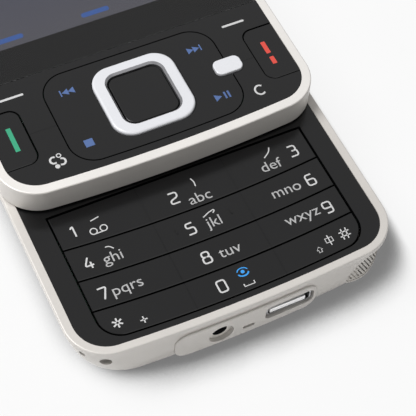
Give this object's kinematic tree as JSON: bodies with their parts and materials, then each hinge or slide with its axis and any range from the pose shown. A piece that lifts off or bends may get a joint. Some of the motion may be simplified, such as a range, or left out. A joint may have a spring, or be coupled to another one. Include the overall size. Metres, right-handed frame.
{
  "type": "slider phone",
  "caption": "Slider phone standing open on its back: light rimmed halves, black fascia with square navigation ring, number keys under the slide.",
  "frame": {"origin": "on the surface that the phone lies on, under the middle of the opened phone", "axes": "+X to the user's right, +Y towards the display end along the slide, +Z out of the front"},
  "size_m": [0.055, 0.1304, 0.0181],
  "materials": {
    "light_shell": "warm light silver, satin",
    "black_panel": "black, satin",
    "black_keys": "black, half gloss",
    "bright_ring": "near-white pearl",
    "dark_shell": "black, fine grain",
    "inner_plastic": "moulded, plain",
    "steel": "rolled sheet",
    "circuit_board": "solder mask",
    "display_glass": "clear, glossy",
    "camera_glass": "clear, tinted",
    "screen": "dim display"
  },
  "bodies": {
    "base": {"assist_spring": "steel", "base_frame": "light_shell", "base_screws": "steel", "battery": "inner_plastic", "camera_module": "inner_plastic", "camera_window": "camera_glass", "card_socket": "steel", "charger_socket": "inner_plastic", "flex_cable": "inner_plastic", "headset_socket": "inner_plastic", "keypad_board": "circuit_board", "keypad_deck": "black_panel", "loudspeaker": "inner_plastic", "main_board": "circuit_board", "port_plate": "light_shell", "rail_carriage": "steel", "rear_cover": "dark_shell", "sim_socket": "steel", "speaker_grille": "steel", "usb_socket": "steel", "vibration_motor": "steel"},
    "slider": {"slider_frame": "light_shell", "slider_back": "dark_shell", "slider_rail_plate": "steel", "slider_screws": "steel", "display_window": "display_glass", "window_mask": "inner_plastic", "lcd_module": "screen", "earpiece": "inner_plastic", "front_camera": "inner_plastic", "ui_board": "circuit_board"},
    "key_0": {"key_0": "black_panel"},
    "key_1": {"key_1": "black_panel"},
    "key_2": {"key_2": "black_panel"},
    "key_3": {"key_3": "black_panel"},
    "key_4": {"key_4": "black_panel"},
    "key_5": {"key_5": "black_panel"},
    "key_6": {"key_6": "black_panel"},
    "key_7": {"key_7": "black_panel"},
    "key_8": {"key_8": "black_panel"},
    "key_9": {"key_9": "black_panel"},
    "key_star": {"key_star": "black_panel"},
    "key_hash": {"key_hash": "black_panel"},
    "battery_cover": {"battery_cover": "dark_shell"},
    "card_door": {"card_door": "light_shell"},
    "volume_rocker": {"volume_rocker": "light_shell"},
    "camera_key": {"camera_key": "light_shell"},
    "power_key": {"power_key": "light_shell"},
    "vibration_weight": {"vibration_weight": "steel"},
    "soft_key_left": {"soft_key_left": "black_keys"},
    "soft_key_right": {"soft_key_right": "black_keys"},
    "menu_key": {"menu_key": "black_keys"},
    "clear_key": {"clear_key": "black_keys"},
    "call_key": {"call_key": "black_keys"},
    "end_key": {"end_key": "black_keys"},
    "media_panel": {"media_panel": "black_keys"},
    "multimedia_key": {"multimedia_key": "bright_ring"},
    "select_key": {"select_key": "black_keys"},
    "nav_carrier": {"nav_carrier": "inner_plastic"},
    "nav_ring": {"nav_ring": "bright_ring"}
  },
  "joints": [
    {"name": "slider_slide", "type": "slide", "parent": "base", "child": "slider", "axis": [0, 1, 0], "range_m": [-0.0274, 0], "deforming": ["assist_spring", "flex_cable"]},
    {"name": "key_0_press", "type": "slide", "parent": "base", "child": "key_0", "axis": [0, 0, -1], "range_m": [0, 0.00025], "stiffness_N_per_m": 250, "springref_m": -0.001},
    {"name": "key_1_press", "type": "slide", "parent": "base", "child": "key_1", "axis": [0, 0, -1], "range_m": [0, 0.00025], "stiffness_N_per_m": 250, "springref_m": -0.001},
    {"name": "key_2_press", "type": "slide", "parent": "base", "child": "key_2", "axis": [0, 0, -1], "range_m": [0, 0.00025], "stiffness_N_per_m": 250, "springref_m": -0.001},
    {"name": "key_3_press", "type": "slide", "parent": "base", "child": "key_3", "axis": [0, 0, -1], "range_m": [0, 0.00025], "stiffness_N_per_m": 250, "springref_m": -0.001},
    {"name": "key_4_press", "type": "slide", "parent": "base", "child": "key_4", "axis": [0, 0, -1], "range_m": [0, 0.00025], "stiffness_N_per_m": 250, "springref_m": -0.001},
    {"name": "key_5_press", "type": "slide", "parent": "base", "child": "key_5", "axis": [0, 0, -1], "range_m": [0, 0.00025], "stiffness_N_per_m": 250, "springref_m": -0.001},
    {"name": "key_6_press", "type": "slide", "parent": "base", "child": "key_6", "axis": [0, 0, -1], "range_m": [0, 0.00025], "stiffness_N_per_m": 250, "springref_m": -0.001},
    {"name": "key_7_press", "type": "slide", "parent": "base", "child": "key_7", "axis": [0, 0, -1], "range_m": [0, 0.00025], "stiffness_N_per_m": 250, "springref_m": -0.001},
    {"name": "key_8_press", "type": "slide", "parent": "base", "child": "key_8", "axis": [0, 0, -1], "range_m": [0, 0.00025], "stiffness_N_per_m": 250, "springref_m": -0.001},
    {"name": "key_9_press", "type": "slide", "parent": "base", "child": "key_9", "axis": [0, 0, -1], "range_m": [0, 0.00025], "stiffness_N_per_m": 250, "springref_m": -0.001},
    {"name": "key_star_press", "type": "slide", "parent": "base", "child": "key_star", "axis": [0, 0, -1], "range_m": [0, 0.00025], "stiffness_N_per_m": 250, "springref_m": -0.001},
    {"name": "key_hash_press", "type": "slide", "parent": "base", "child": "key_hash", "axis": [0, 0, -1], "range_m": [0, 0.00025], "stiffness_N_per_m": 250, "springref_m": -0.001},
    {"name": "battery_cover_slide", "type": "slide", "parent": "base", "child": "battery_cover", "axis": [0, -1, 0], "range_m": [0, 0.03]},
    {"name": "card_door_pull", "type": "slide", "parent": "base", "child": "card_door", "axis": [-1, 0, 0], "range_m": [0, 0.004]},
    {"name": "volume_rock", "type": "hinge", "parent": "base", "child": "volume_rocker", "pos_m": [0.0255, 0.015, 0.0086], "axis": [0, 0, 1], "range_deg": [-1.2, 1.2], "stiffness_Nm_per_rad": 0.02},
    {"name": "camera_key_press", "type": "slide", "parent": "base", "child": "camera_key", "axis": [-1, 0, 0], "range_m": [0, 0.00025], "stiffness_N_per_m": 250, "springref_m": -0.001},
    {"name": "power_key_press", "type": "slide", "parent": "base", "child": "power_key", "axis": [0, -1, 0], "range_m": [0, 0.00025], "stiffness_N_per_m": 250, "springref_m": -0.001},
    {"name": "vibration_spin", "type": "hinge", "parent": "base", "child": "vibration_weight", "pos_m": [0.006, 0.0305, 0.00375], "axis": [1, 0, 0], "continuous": true},
    {"name": "soft_key_left_press", "type": "slide", "parent": "slider", "child": "soft_key_left", "axis": [0, 0, -1], "range_m": [0, 0.00025], "stiffness_N_per_m": 250, "springref_m": -0.001},
    {"name": "soft_key_right_press", "type": "slide", "parent": "slider", "child": "soft_key_right", "axis": [0, 0, -1], "range_m": [0, 0.00025], "stiffness_N_per_m": 250, "springref_m": -0.001},
    {"name": "menu_key_press", "type": "slide", "parent": "slider", "child": "menu_key", "axis": [0, 0, -1], "range_m": [0, 0.00025], "stiffness_N_per_m": 250, "springref_m": -0.001},
    {"name": "clear_key_press", "type": "slide", "parent": "slider", "child": "clear_key", "axis": [0, 0, -1], "range_m": [0, 0.00025], "stiffness_N_per_m": 250, "springref_m": -0.001},
    {"name": "call_key_press", "type": "slide", "parent": "slider", "child": "call_key", "axis": [0, 0, -1], "range_m": [0, 0.00025], "stiffness_N_per_m": 250, "springref_m": -0.001},
    {"name": "end_key_press", "type": "slide", "parent": "slider", "child": "end_key", "axis": [0, 0, -1], "range_m": [0, 0.00025], "stiffness_N_per_m": 250, "springref_m": -0.001},
    {"name": "media_panel_press", "type": "slide", "parent": "slider", "child": "media_panel", "axis": [0, 0, -1], "range_m": [0, 0.00025], "stiffness_N_per_m": 250, "springref_m": -0.001},
    {"name": "multimedia_key_press", "type": "slide", "parent": "slider", "child": "multimedia_key", "axis": [0, 0, -1], "range_m": [0, 0.00025], "stiffness_N_per_m": 250, "springref_m": -0.001},
    {"name": "select_key_press", "type": "slide", "parent": "slider", "child": "select_key", "axis": [0, 0, -1], "range_m": [0, 0.00025], "stiffness_N_per_m": 250, "springref_m": -0.001},
    {"name": "nav_tilt_x", "type": "hinge", "parent": "slider", "child": "nav_carrier", "pos_m": [0, -0.0252, 0.01625], "axis": [1, 0, 0], "range_deg": [-0.9, 0.9], "stiffness_Nm_per_rad": 0.02},
    {"name": "nav_tilt_y", "type": "hinge", "parent": "nav_carrier", "child": "nav_ring", "pos_m": [0, -0.0252, 0.01625], "axis": [0, 1, 0], "range_deg": [-0.9, 0.9], "stiffness_Nm_per_rad": 0.02}
  ]
}
